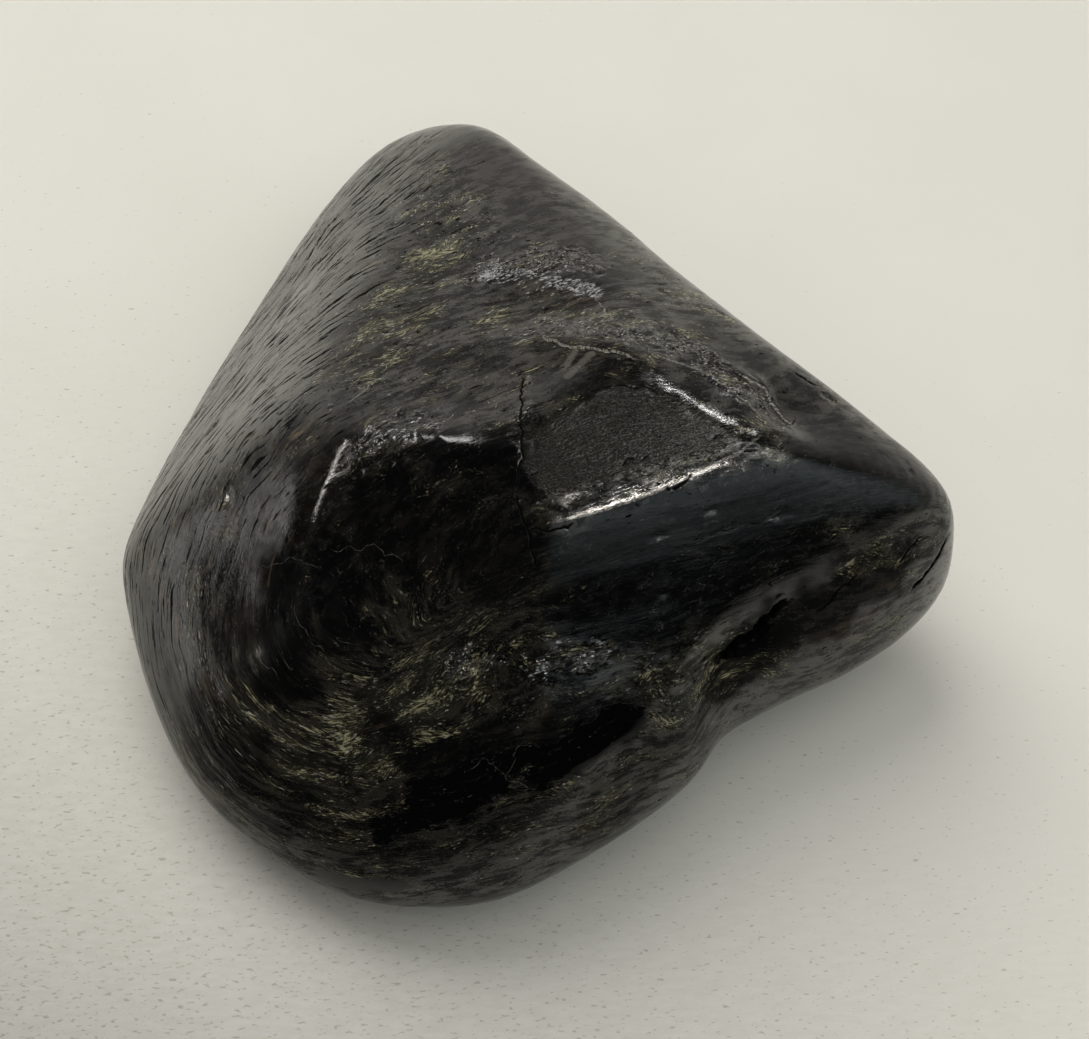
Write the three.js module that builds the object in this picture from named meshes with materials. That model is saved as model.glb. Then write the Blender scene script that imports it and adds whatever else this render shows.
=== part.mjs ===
// A polished nuummite stone, about 60 mm across: one closed solid with +Z up, resting on a ground flat.
// The stone is a blunt wedge. Its ground faces meet over its crest, a rounded belly swells towards -Y,
// and a lobe at +X is parted from the belly by a crease that ends in a notch of the outline.
import * as THREE from "three";
import { mergeVertices } from "three/addons/utils/BufferGeometryUtils.js";

// Driving dimensions, in millimetres and degrees.
const CORE = new THREE.Vector3(0, 2, 12); // every face is measured out from this point of the stone
const GIRDLE_LOW = 5; // height below which the sides tuck under at the back
const BELLY_GIRDLE_LOW = 7.8; // the same round the belly
const FOOT_SHARE = 0.535; // how much of the outline is left at the floor
const FLAT_CUT = 0.3; // thickness ground off the underside to make the resting flat
const CREST_SHARPNESS = 36; // how tightly the ground faces meet
const BELLY_SHARPNESS = 16; // how tightly the belly's faces run together
const SIDE_SHARPNESS = 14; // how tightly the faces turn into the sides at the back
const BELLY_SIDE_SHARPNESS = 6; // the same round the belly, where the stone is fullest
const BELLY_AZIMUTH = 232; // where the belly's sides are roundest
const BELLY_SPREAD = 62; // how far round that reaches, in degrees
const MESH_DETAIL = 19; // the starting sphere has 20 * (MESH_DETAIL + 1)^2 triangles
const MESH_FLATTENING = 0.6; // packs the mesh's rows towards the girdle
const WELD = 0.001;

// Ground faces: name, azimuth from +X towards +Y, rise above the horizon, reach from CORE.
const CREST_FACES = [
  ["window", 310, 68, 16.9],
  ["right bulge", 301, 40, 17.4],
  ["bulge skirt", 303, 20, 20.2],
  ["left shoulder", 202, 42, 19.6],
  ["back slope", 122, 69, 14.3],
  ["right back", 25, 59, 16.9],
  ["upper right", 52, 60, 15.9],
  ["left flank", 157, 38.5, 19.5],
  ["upper flank", 143, 52, 17.8],
];
const BELLY_FACES = [
  ["front slope", 236, 46, 18.1],
  ["front left", 214, 34, 23.6],
  ["front low", 243, 30, 25.8],
  ["front right", 275, 34, 20.8],
];

// Outline of the girdle seen from above, x and y, run round from the tip of the lobe.
const GIRDLE = [
  [28.9, -2.2], [28.3, 0.9], [25.4, 3.2], [21.6, 6.1], [15.8, 10.4], [11, 16], [5.4, 23.1], [-0.2, 29.6],
  [-5.6, 37.2], [-12.6, 40.5], [-22.8, 30], [-31.6, 12.3], [-36.6, -4], [-39.8, -19], [-39, -36.6],
  [-27.6, -45.2], [-7.7, -40.3], [4.3, -30.4], [10.6, -22], [13.6, -15.4], [17.6, -12.1], [21.9, -9.8],
  [26.6, -6],
];

// The crease along the lobe's upper edge and down to the notch: points on the surface, each with its depth.
const CREASE_WIDTH = 1.9;
const CREASE = [
  [26.6, 0.8, 15, 0.2], [24.5, -5.2, 15.6, 0.15], [19.5, -8.2, 16.2, 0.2], [15.6, -11, 15.4, 0.5],
  [12, -14, 14.2, 0.9], [11, -15.4, 12.6, 0.9], [11.4, -15.6, 10.4, 0.8], [12.6, -14.6, 7.5, 0.6],
];

// Low mounds and hollows: name, place, radius, height (a hollow's is negative).
const RELIEF = [
  ["bulge brow", [17, -4.5, 22], 6, 0.35],
  ["rim chip", [17, 1.4, 22.4], 2.4, -0.6],
  ["crest scar", [0.6, 8.2, 26], 4.2, -0.45],
  ["crest ledge", [5.2, 4.6, 27.6], 2.6, 0.35],
  ["streaked scar", [-7.5, 0.5, 27], 4.5, -0.35],
  ["shoulder dish", [-20.5, -9.4, 16], 4.5, -0.45],
  ["shoulder brow", [-15.2, -5.2, 22.5], 4, 0.3],
  ["belly pocket", [2.5, -14.5, 20], 5, -0.35],
  ["belly pillow", [-5.5, -22, 13], 7, 0.35],
  ["back scar", [9.5, 16, 14], 5, -0.5],
  ["back pit", [20.5, 6.5, 10], 2.6, -0.7],
  ["flank scar", [-20, 21, 12], 5, -0.4],
];

/** Unit vector at an azimuth and a rise, in degrees. */
function facing(azimuth, rise) {
  const polar = THREE.MathUtils.degToRad(90 - rise);
  const turn = THREE.MathUtils.degToRad(azimuth);
  return new THREE.Vector3(Math.sin(polar) * Math.cos(turn), Math.sin(polar) * Math.sin(turn), Math.cos(polar));
}

/** Joins nearness values into one: the largest wins, and a high sharpness keeps the joins tight. */
function blend(values, sharpness) {
  const sum = values.reduce((total, value) => total + Math.max(0, value) ** sharpness, 0);
  return sum ** (1 / sharpness);
}

/** Distance from CORE to the girdle outline at every azimuth, as a lookup by angle. */
function girdleLookup() {
  const corners = GIRDLE.map(([x, y]) => new THREE.Vector3(x - CORE.x, y - CORE.y, 0));
  const ring = new THREE.CatmullRomCurve3(corners, true, "centripetal").getPoints(720);
  const entries = ring.map((p) => ({ angle: Math.atan2(p.y, p.x), distance: p.length() }));
  entries.sort((a, b) => a.angle - b.angle);
  const first = entries[0];
  const last = entries[entries.length - 1];
  entries.unshift({ angle: last.angle - 2 * Math.PI, distance: last.distance });
  entries.push({ angle: first.angle + 2 * Math.PI, distance: first.distance });
  return entries;
}

const girdle = girdleLookup();

function girdleDistance(angle) {
  const after = girdle.findIndex((entry) => entry.angle > angle);
  const next = girdle[after];
  const before = girdle[after - 1];
  const share = (angle - before.angle) / (next.angle - before.angle);
  return THREE.MathUtils.lerp(before.distance, next.distance, share);
}

function planes(faces) {
  return faces.map(([, azimuth, rise, reach]) => ({ normal: facing(azimuth, rise), reach }));
}

const crestPlanes = planes(CREST_FACES);
const bellyPlanes = planes(BELLY_FACES);

function planeNearness(plane, direction) {
  return plane.normal.dot(direction) / plane.reach;
}

function bell(distance, width) {
  return Math.exp(-((distance / width) ** 2));
}

/** How much of the belly there is at an azimuth in radians: 1 in its middle, falling to 0 round the back. */
function bellyShare(azimuth) {
  const turn = THREE.MathUtils.radToDeg(azimuth) - BELLY_AZIMUTH;
  const apart = THREE.MathUtils.euclideanModulo(turn + 180, 360) - 180;
  return bell(apart, BELLY_SPREAD);
}

/** Distance from CORE to the ground surface in a direction. */
function surfaceReach(direction) {
  const belly = blend(bellyPlanes.map((plane) => planeNearness(plane, direction)), BELLY_SHARPNESS);
  const crest = blend([belly, ...crestPlanes.map((plane) => planeNearness(plane, direction))], CREST_SHARPNESS);
  const across = Math.hypot(direction.x, direction.y);
  const azimuth = Math.atan2(direction.y, direction.x);
  const share = bellyShare(azimuth);
  const side = across / girdleDistance(azimuth);
  const girdleLow = THREE.MathUtils.lerp(GIRDLE_LOW, BELLY_GIRDLE_LOW, share);
  const tuck = (1 - FOOT_SHARE) / girdleLow;
  const under = (side - tuck * direction.z) / (1 + tuck * (CORE.z - girdleLow));
  const base = -direction.z / (CORE.z + FLAT_CUT);
  const sharpness = THREE.MathUtils.lerp(SIDE_SHARPNESS, BELLY_SIDE_SHARPNESS, share);
  return 1 / blend([crest, side, under, base], sharpness);
}

const creasePoints = CREASE.map(([x, y, z, depth]) => ({ place: new THREE.Vector3(x, y, z), depth }));

/** How deep the crease cuts at a point: along each stretch it goes from one end's depth to the other's. */
function creaseCut(point) {
  const nearest = new THREE.Vector3();
  const cuts = creasePoints.slice(1).map((end, index) => {
    const start = creasePoints[index];
    const stretch = new THREE.Line3(start.place, end.place);
    const share = stretch.closestPointToPointParameter(point, true);
    const depth = THREE.MathUtils.lerp(start.depth, end.depth, share);
    return depth * bell(stretch.at(share, nearest).distanceTo(point), CREASE_WIDTH);
  });
  return Math.max(...cuts);
}

/** How far the surface stands out (or in, when negative) at a point of the ground shape. */
function relief(point) {
  const mounds = RELIEF.reduce(
    (sum, [, place, radius, height]) => sum + height * bell(point.distanceTo(new THREE.Vector3(...place)), radius),
    0,
  );
  return mounds - creaseCut(point);
}

/** The stone: a sphere's mesh drawn out to the ground faces, carved, cut flat below and centred. */
function stoneGeometry() {
  const sphere = new THREE.IcosahedronGeometry(1, MESH_DETAIL);
  sphere.deleteAttribute("normal");
  sphere.deleteAttribute("uv");
  const geometry = mergeVertices(sphere, WELD);
  const position = geometry.getAttribute("position");
  const flattening = new THREE.Vector3(1, 1, MESH_FLATTENING);
  for (let index = 0; index < position.count; index += 1) {
    const direction = new THREE.Vector3().fromBufferAttribute(position, index).multiply(flattening).normalize();
    const point = direction.clone().multiplyScalar(surfaceReach(direction)).add(CORE);
    point.addScaledVector(direction, relief(point));
    position.setXYZ(index, point.x, point.y, Math.max(0, point.z));
  }
  geometry.computeBoundingBox();
  const middle = geometry.boundingBox.getCenter(new THREE.Vector3());
  geometry.translate(-middle.x, -middle.y, 0);
  geometry.computeVertexNormals();
  return geometry;
}

const polishedRock = new THREE.MeshStandardMaterial({ color: 0x1b1c1a, roughness: 0.2, metalness: 0 });
const stone = new THREE.Mesh(stoneGeometry(), polishedRock);
stone.name = "stone";

const group = new THREE.Group();
group.add(stone);

export default group;
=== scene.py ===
"""The polished nuummite stone, dressed over its CAD solid.

The stone's fine surface is made from a copy of the CAD node: its mesh is refined where there is detail,
drawn onto a smooth master, and worked with a ground window, cracks, ledges, broken ground and pits. The
fields that shape it are kept as attributes, and the material reads them together with fine noise. Sizes and
places are in millimetres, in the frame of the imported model, unless a name says otherwise.
"""
import math
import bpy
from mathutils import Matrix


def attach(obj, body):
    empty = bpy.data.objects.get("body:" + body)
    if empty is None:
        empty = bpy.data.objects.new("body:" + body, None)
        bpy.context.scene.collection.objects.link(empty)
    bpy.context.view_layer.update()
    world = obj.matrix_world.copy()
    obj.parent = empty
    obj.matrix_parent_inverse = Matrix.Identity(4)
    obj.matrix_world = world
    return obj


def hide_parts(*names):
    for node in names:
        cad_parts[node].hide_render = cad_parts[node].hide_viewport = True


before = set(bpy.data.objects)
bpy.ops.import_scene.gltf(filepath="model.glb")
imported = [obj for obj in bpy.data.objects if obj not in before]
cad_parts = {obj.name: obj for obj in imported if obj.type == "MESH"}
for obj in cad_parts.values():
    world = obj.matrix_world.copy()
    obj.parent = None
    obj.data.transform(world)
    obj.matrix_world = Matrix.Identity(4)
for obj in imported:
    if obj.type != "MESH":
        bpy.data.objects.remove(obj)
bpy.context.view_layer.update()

from types import SimpleNamespace

import bpy
import numpy as np
from mathutils import Matrix, Vector, kdtree

MM = 0.001
FAR = 99.0  # farther than anything on the stone

# Camera: it looks along +Y and down, at a point inside the stone.
CAMERA_TARGET = Vector((0.686, -6.408, 12.0))
CAMERA_ELEVATION = 55.0
CAMERA_DISTANCE = 212.0
CAMERA_LENS = 100.0

# The stone's mesh.
WELD = 0.01
MASTER_LEVELS = 3
MASTER_SMOOTHING = 10
VIEW_SIDE = np.array((0.0, -0.574, 0.819))  # the mesh is finer where the surface looks this way
VIEW_SIDE_EDGE = 0.08  # how nearly edge-on it may be there
TUCK_HEIGHT = 6.5  # the sides tuck under below this height
FINE_MARGIN = 0.75  # how far round a feature the mesh is refined
RIDGE_MARGIN = 0.25  # how much less far round a ridge
FINEST_MARGIN = 0.3  # how far round a crack or a ledge it is refined once more

# The layers fold round a nose at the stone's left; seen from above, both limbs lie along one direction.
FOLD_AZIMUTH = 22.4
FOLD_AXIS = -11.7  # the fold's middle, measured across the limbs
FOLD_NOSE = -19.5  # where the fold closes, measured along the limbs
FOLD_ROUND = 1.2
FOLD_BEND = 0.02  # how fast the limbs turn towards the narrow end
BEND_START = 2.0  # they turn from here on towards +Y
HINGE_START = -3.0  # how far past the nose the layers begin to run straight on along the fold's middle
HINGE_END = 11.0
HINGE_NEAR = -4.0  # they do so down to here, measured across the limbs
HINGE_FAR = -7.0
NOTCH_MIDDLE = (11.4, -21.4, 11.5)  # round here the fibres turn and run down into the notch
NOTCH_REACH = 3.6
NOTCH_TURN = 2.2
DIP_HEIGHT = 20.0  # below this height the layers bend over and dip outwards
DIP_RATE = 0.045

# Noises: each octave's strength and lump size, three sizes where the lumps are drawn out along the layers.
NOISE_GAIN = 1.6
FOLD_SEED = 21
LAYER_WAVES = ((0.8, 7.0), (0.25, 2.2))
ALONG_WAVE = (0.8, 5.0)
PATCH_SEED = 31
PATCH_BORDER = ((1.3, 2.2), (0.6, 0.8))
CALM_SOFTNESS = 1.8
PLATE_GLINT_SOFTNESS = 0.6
PLATE_GLINT_RAGGEDNESS = 0.6
LENS_SEED = 41
LENS_BORDER = ((0.7, 2.2), (0.35, 0.8))
MARK_SEED = 71
SHEAVES = ((1.0, (4.0, 1.3, 2.5)), (0.6, (1.7, 0.6, 1.2)))
MOTTLES = ((1.0, (2.6, 0.9, 1.6)), (0.7, (1.1, 0.45, 0.8)))

# Black crystals scattered on the sides away from VIEW_SIDE: lump size, gain, level, and how few face it.
SCATTER_SIZE = (7.0, 2.4, 5.0)
SCATTER_GAIN = 3.0
SCATTER_LEVEL = 1.3
SCATTER_FRONT = 2.2

# Unevenness of the surface: heights and lump sizes.
SURFACE_SEED = 61
WAVE_HEIGHT = 0.035
WAVE_SIZE = 5.0
LAYER_HEIGHT = 0.018
LAYER_SIZE = (5.0, 1.1, 4.0)
NEEDLE_HEIGHT = 0.02
NEEDLE_SIZE = (1.6, 0.45, 1.2)
PIT_DEPTH = 0.12
PIT_SIZE = (2.4, 0.8, 1.6)

# Facets of broken ground: how far apart, how steeply they lean, and the mesh's own spacing.
FACET_SEED = 7
FACET_SPACING = 0.6
FACET_TILT = 0.16
MESH_SPACING = 0.16

# Routes of cracks and thin lines over the surface.
ROUTE_STEP = 0.04
ROUTE_REACH = 3.0  # how far off a route its distance is worked out
ROUTE_TANGENT = 6  # how many steps before and after a place give the route's direction
TAPER_RATE = 6.0  # how fast a line grows from its ends
TAPER_END = 0.15  # how much of it is left at its very ends
SEED_STEP = 5  # from one route's seed to the next one's
CRACK_SEED = 100
CRACK_WANDER = 0.3  # the same for ledges
CRACK_RAGGED = 0.6  # how ragged the walls are, as a share of the half width
CRACK_LUMP = 0.35
CRACK_LUMP_SEED = 91
LEDGE_SEED = 300
LEDGE_LINE = 0.075  # half width of the painted highlight line along a ledge's edge
# strength of that painted highlight
LEDGE_GLEAM = 0.7
HAIRLINE_SEED = 500
HAIRLINE_WANDER = 0.4
RIDGE_SEED = 700
RIDGE_WANDER = 0.06
RIDGE_LINE = 0.11  # half width of the painted highlight, in bright grains, along a ridge
LINE_REACH = 0.22  # how far from a thin line the material still looks for it
LINE_LIMIT = 9.0  # the largest distance that is kept, in half widths

# Smooth black crystals: both ends of each one's middle line and half its width.
LENSES = [
    ((-9.8, -30.0, 9.8), (-5.6, -29.4, 11.8), 1.1),
    ((-6.6, -29.2, 12.0), (-3.6, -28.4, 13.4), 1.9),
    ((-3.4, -27.8, 14.0), (0.6, -26.9, 15.0), 0.7),
    ((0.6, -28.0, 13.6), (3.4, -26.6, 14.6), 1.1),
    ((3.4, -26.2, 14.8), (5.6, -25.1, 14.9), 1.8),
    ((13.4, -18.6, 14.6), (16.9, -17.2, 14.1), 0.7),
    ((-14.0, 28.0, 12.0), (-16.5, 23.0, 11.5), 1.4),
]

# Dark, finely streaked ground: ends, half width and strength.
DARK = [
    ((3.6, -19.6, 21.3), (18.0, -14.8, 18.0), 3.0, 1.0),
    ((3.0, -17.8, 24.0), (17.5, -11.5, 22.0), 2.6, 1.0),
    ((-16.4, -14.0, 18.8), (-16.2, -20.6, 14.6), 2.0, 1.0),
    ((-17.2, -15.6, 17.2), (-17.0, -20.6, 13.8), 1.6, 1.0),
    ((-13.2, -15.4, 20.6), (-13.0, -19.6, 17.8), 2.2, 1.0),
    ((-10.6, -12.4, 24.6), (-7.6, -13.8, 25.3), 1.7, 1.0),
    ((-11.4, -14.6, 23.0), (-1.6, -18.0, 24.6), 2.9, 0.8),
    ((-6.0, -11.8, 27.0), (-1.6, -13.0, 27.7), 1.9, 1.0),
    ((0.4, -6.8, 28.1), (6.5, -6.6, 28.3), 1.1, 0.7),
    ((19.0, -8.5, 21.5), (25.0, -8.0, 18.9), 3.2, 0.9),
    ((-7.5, -27.0, 14.2), (4.5, -25.4, 16.4), 1.3, 0.9),
    ((-12.0, -6.4, 25.6), (-6.5, -8.0, 27.2), 1.2, 0.5),
    ((24.0, -13.0, 13.4), (15.5, -18.4, 12.4), 2.0, 0.55),
    ((-15.6, -27.2, 9.5), (-14.6, -27.6, 9.4), 0.5, 0.9),
    ((-10.6, -25.0, 14.5), (-8.6, -26.4, 14.2), 0.6, 0.9),
    ((-18.6, -23.7, 10.6), (-18.0, -24.3, 10.4), 0.5, 0.8),
    ((-13.6, -25.9, 12.0), (-12.6, -26.6, 11.8), 0.4, 0.8),
    ((-3.2, 9.4, 22.0), (-1.6, 9.8, 22.2), 0.3, 1.0),
]

# Patches of golden-green needles: ends, half width and strength.
FLECKS = [
    ((-7.1, 22.5, 16.6), (-9.1, 16.1, 18.4), 1.8, 1.0),
    ((-5.6, 13.7, 20.4), (-9.6, 4.0, 22.7), 2.8, 1.1),
    ((-9.3, 2.7, 23.0), (-13.1, -3.4, 24.1), 2.4, 1.1),
    ((6.7, 7.9, 22.6), (12.5, 4.1, 22.0), 1.9, 1.1),
    ((-1.6, -5.0, 27.0), (-0.6, -6.9, 27.6), 0.9, 1.0),
    ((-24.0, -11.7, 12.6), (-22.8, -17.2, 11.4), 1.2, 1.0),
    ((-19.5, -21.8, 11.6), (-13.6, -27.1, 10.8), 2.4, 0.9),
    ((-11.5, -25.3, 13.7), (-6.1, -23.9, 17.6), 2.8, 1.1),
    ((8.0, -22.9, 15.2), (12.8, -19.3, 14.3), 2.4, 1.1),
    ((10.3, -18.5, 18.6), (14.0, -17.0, 17.8), 0.9, 0.9),
    ((25.2, -10.8, 16.6), (26.4, -9.6, 16.5), 0.9, 0.7),
    ((-3.5, -21.1, 21.1), (2.4, -21.6, 20.3), 1.5, 0.6),
    ((12.5, -20.5, 12.2), (17.5, -17.9, 12.4), 1.6, 0.7),
    ((-4.6, 9.6, 21.7), (-2.5, 11.0, 21.7), 1.3, 0.6),
]

# Matt ground that reflects little: ends, half width and strength.
MATT = [
    ((0.8, -2.6, 26.8), (6.0, -6.0, 28.2), 1.9, 0.9),
    ((-5.0, -2.5, 26.2), (-1.0, -4.0, 27.2), 1.8, 0.7),
    ((-7.0, -5.6, 26.6), (-3.0, -6.0, 27.6), 1.6, 0.7),
    ((-2.4, 4.8, 24.0), (3.0, 3.4, 25.2), 1.8, 0.6),
    ((23.6, -12.2, 14.6), (13.0, -19.4, 13.6), 2.8, 1.0),
    ((27.0, -9.0, 14.8), (21.0, -12.6, 16.4), 1.8, 0.8),
    ((12.4, -20.0, 13.6), (5.0, -28.4, 9.6), 2.6, 0.7),
    ((-7.2, 12.7, 19.8), (-11.6, 0.6, 23.2), 3.4, 0.4),
    ((-16.9, -15.6, 17.4), (-17.4, -20.8, 13.4), 2.3, 1.0),
    ((-19.0, -17.8, 14.4), (-20.4, -21.4, 11.2), 1.7, 1.0),
]

# Calm, evenly polished ground: ends, half width and strength.
CALM = [
    ((-6.1, 26.8, 15.2), (-0.4, 18.5, 19.5), 2.6, 1.0),
    ((-0.4, 15.5, 20.6), (5.9, 6.8, 23.3), 2.3, 0.75),
    ((-17.4, -10.5, 20.2), (-19.9, -17.6, 13.8), 1.8, 0.9),
    ((21.9, -7.8, 21.0), (12.0, 0.5, 22.5), 1.4, 0.8),
    ((-12.3, -9.0, 25.5), (-15.0, -13.4, 21.2), 1.0, 1.0),
]

# Pale blunt crystals: ends and half width.
TABLETS = [
    ((2.0, -5.3, 27.8), (2.7, -3.7, 27.5), 0.26),
    ((2.2, -6.2, 28.1), (3.8, -4.1, 27.8), 0.3),
    ((-0.4, -5.6, 27.6), (-0.3, -6.5, 27.8), 0.22),
]
TABLET_GLEAM = 0.13

# Pale hairlines: points along each, half width and strength.
HAIRLINES = [
    ([(0.0, 7.6, 23.2), (1.4, 7.0, 23.6), (2.6, 6.9, 23.7)], 0.04, 0.7),
    ([(-18.6, -18.0, 14.7), (-18.2, -19.6, 14.2), (-17.1, -20.8, 13.9)], 0.03, 0.2),
    ([(-18.8, -13.7, 16.8), (-16.3, -14.4, 18.6), (-13.7, -16.1, 19.8)], 0.03, 0.16),
    ([(-13.7, -15.2, 20.7), (-11.0, -15.6, 22.0), (-8.3, -16.8, 22.4)], 0.03, 0.2),
    ([(-16.2, -17.0, 17.6), (-15.2, -19.2, 16.6), (-13.6, -20.6, 16.4)], 0.03, 0.18),
    ([(-4.6, -28.0, 14.2), (-3.3, -27.6, 14.8), (-2.0, -28.2, 14.2), (0.3, -28.9, 12.8)], 0.03, 0.18),
    ([(-2.0, -28.2, 14.2), (-1.0, -26.8, 15.4), (0.6, -26.6, 15.4)], 0.03, 0.16),
]

# Platy ground whose flakes are painted pale and silvery as glints: ends, half width and strength.
PLATE_GLINTS = [
    ((-3.0, 7.0, 22.8), (0.4, 5.8, 23.9), 1.0, 0.9),
    ((0.4, 5.6, 23.9), (3.6, 3.9, 24.8), 0.9, 0.9),
    ((-8.8, -9.5, 26.7), (-1.7, -7.1, 27.6), 0.5, 0.45),
    ((-12.0, -9.2, 25.5), (-9.0, -9.6, 26.6), 0.6, 0.6),
    ((1.6, -21.8, 20.2), (4.7, -21.0, 19.2), 0.3, 0.7),
    ((-2.1, -23.2, 19.6), (1.2, -23.6, 18.6), 0.6, 0.6),
    ((11.8, -4.3, 25.5), (13.2, -5.1, 25.0), 0.6, 0.7),
]

# Rusty stains: ends, half width and strength.
RUST = [
    ((1.2, 3.3, 24.6), (3.6, 2.6, 25.2), 0.6, 0.8),
    ((20.4, -16.0, 11.2), (24.0, -13.6, 12.5), 1.3, 0.7),
    ((-8.5, 1.5, 23.6), (-6.6, -0.4, 24.3), 0.7, 0.7),
    ((-11.8, -24.1, 14.5), (-10.7, -24.9, 14.5), 0.7, 0.6),
]

# Ridges where two ground faces meet: points along each, height, radius, and the strength of the painted
# highlight, in bright grains, along the crest.
RIDGES = [
    ([(-12.5, -9.3, 25.3), (-13.1, -10.4, 24.4), (-13.8, -11.5, 23.3), (-14.4, -12.4, 22.3),
      (-14.9, -13.3, 21.3)], 0.03, 0.6, 0.15),
    ([(0.9, -16.4, 25.9), (4.3, -15.2, 25.5), (7.6, -13.6, 25.1), (10.9, -11.7, 25.0), (13.6, -10.0, 24.9),
      (15.1, -8.4, 24.8)], 0.035, 0.5, 0.65),
    ([(15.4, -7.4, 24.5), (14.3, -5.7, 24.7), (12.7, -4.8, 25.2), (11.1, -3.9, 25.8), (9.0, -3.8, 26.7),
      (7.4, -3.6, 27.4)], 0.035, 0.5, 0.4),
]

# Broken ground that sparkles from its leaning facets, its grey and pale shards painted as sparkle: ends,
# half width and strength.
BROKEN = [
    ((-3.8, 7.3, 22.9), (3.4, 7.3, 23.6), 1.6, 1.0),
    ((0.4, -0.3, 25.5), (6.4, -2.0, 27.4), 1.3, 0.8),
    ((6.6, -1.6, 27.0), (10.8, -1.6, 25.4), 1.2, 1.0),
    ((11.8, -3.4, 25.4), (15.2, -4.9, 24.2), 1.4, 1.0),
    ((-10.6, -9.8, 25.8), (-6.4, -9.2, 27.1), 1.2, 0.8),
    ((-4.8, -22.9, 19.1), (4.3, -22.1, 18.4), 1.1, 0.7),
    ((-0.6, -5.7, 27.4), (-0.8, -12.0, 28.1), 0.5, 0.7),
]

# Cracks: points along each, depth and half width.
CRACKS = [
    ([(-0.6, -5.7, 27.4), (-0.9, -9.5, 28.2), (-0.8, -12.7, 28.0), (-1.1, -14.8, 27.1)], 0.05, 0.07),
    ([(-1.1, -14.8, 27.1), (-0.4, -16.9, 25.9), (0.1, -18.9, 24.3)], 0.06, 0.08),
    ([(-0.4, -16.9, 25.9), (1.0, -16.9, 25.7), (2.7, -16.1, 25.5)], 0.04, 0.06),
    ([(28.6, -9.1, 13.4), (27.1, -11.1, 12.2), (26.0, -12.2, 11.7)], 0.16, 0.12),
    ([(21.8, -13.5, 15.9), (20.0, -15.2, 14.9), (18.8, -16.0, 14.5)], 0.1, 0.08),
    ([(26.2, -10.4, 15.6), (24.9, -11.8, 14.6)], 0.1, 0.08),
    ([(18.0, -0.6, 21.1), (19.4, -1.1, 20.5)], 0.1, 0.09),
    ([(17.0, -16.0, 16.3), (15.4, -17.4, 15.3), (14.1, -18.4, 14.7), (12.0, -19.8, 14.2)], 0.8, 0.27),
    ([(-5.8, -14.6, 25.9), (-3.6, -14.9, 26.2)], 0.05, 0.09),
    ([(5.6, -12.2, 26.8), (7.6, -11.4, 26.6)], 0.04, 0.07),
    ([(8.6, -13.3, 25.2), (10.6, -12.2, 25.1)], 0.05, 0.07),
    ([(3.4, -7.6, 28.0), (5.2, -7.1, 28.2), (7.0, -6.9, 27.8)], 0.03, 0.05),
    ([(11.6, -9.6, 26.2), (13.6, -8.6, 25.6)], 0.05, 0.07),
    ([(9.4, -16.2, 22.6), (12.4, -14.6, 22.2), (15.4, -13.6, 21.8)], 0.02, 0.04),
    ([(-15.9, 21.6, 12.0), (-18.2, 16.9, 12.3)], 0.14, 0.12),
    ([(8.4, 15.6, 16.8), (5.0, 20.4, 16.6)], 0.14, 0.12),
]

# Ledges: points along each, height of the step and how far back the raised side runs out.
LEDGES = [
    ([(0.1, -1.1, 25.8), (2.7, -3.4, 27.4), (4.3, -3.9, 27.9), (7.0, -4.6, 27.8)], 0.22, 1.6),
    ([(3.9, 4.4, 24.6), (4.8, 1.2, 25.8), (6.5, -2.3, 27.4)], -0.18, 1.4),
    ([(-8.7, 0.6, 24.4), (-10.4, -3.2, 25.4), (-12.2, -6.0, 25.2)], 0.14, 1.6),
    ([(12.9, -2.4, 24.6), (15.6, -3.6, 23.4), (17.6, -5.8, 22.6), (15.9, -7.6, 24.0)], 0.16, 1.0),
]

# Hollows and swells: middle, radius and height.
SWELLS = [
    ((16.9, -5.4, 23.0), 1.9, -0.45),
    ((-20.6, -15.8, 14.2), 2.2, -0.12),
    ((2.7, -2.9, 26.9), 1.6, 0.12),
    ((1.5, 7.0, 23.6), 2.2, 0.2),
]

# The ground window: the azimuth and rise that it faces, where it lies and how deep it is cut.
WINDOW_AZIMUTH = 310.0
WINDOW_RISE = 68.0
WINDOW_MIDDLE = (7.0, -10.0, 26.6)
WINDOW_REACH = 10.5
WINDOW_TOP = 97  # the cut is measured from the height that this percentage of its surface lies below
WINDOW_CUT = 0.1

# The flank with slots and tan seams looks this way.
FLANK_AZIMUTH = 165.0
FLANK_RISE = 35.0

# The fields that the mesh keeps and the material reads.
FIELD_NAMES = (
    "lens", "fleck", "broken", "window", "crack", "crack_gain", "bright", "bright_gain", "silver", "rust",
    "dark", "matt", "calm", "gleam", "flank", "sheaves", "mottle", "along", "across",
)

# Noises of the material: grains per millimetre along the layers, across them and upwards.
RAGGED_GRAIN = (0.55, 2.0, 0.9)
SPECKLE_GRAIN = (6.0, 13.0, 9.0)
STREAK_GRAIN = (0.35, 6.5, 1.0)
NEEDLE_DOMAINS = (0.7, 1.5, 1.0)
NEEDLE_GRAIN = (1.0, 6.5, 2.3)
NEEDLE_SPREAD = 1.3  # the angle between the domains' outermost directions, in radians
SLOT_GRAIN = (0.26, 3.6, 0.5)
HOLE_GRAIN = (1.3, 3.0, 2.0)
SEAM_GRAIN = (0.13, 1.9, 0.5)
SEAM_TURN = (4.0, 9.0, 2.0)  # turns the seams' noise so that it has nothing in common with the slots' noise
VEIN_GRAIN = (0.5, 1.6, 0.9)
FLAKE_GRAIN = (4.4, 12.0, 8.0)

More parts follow.
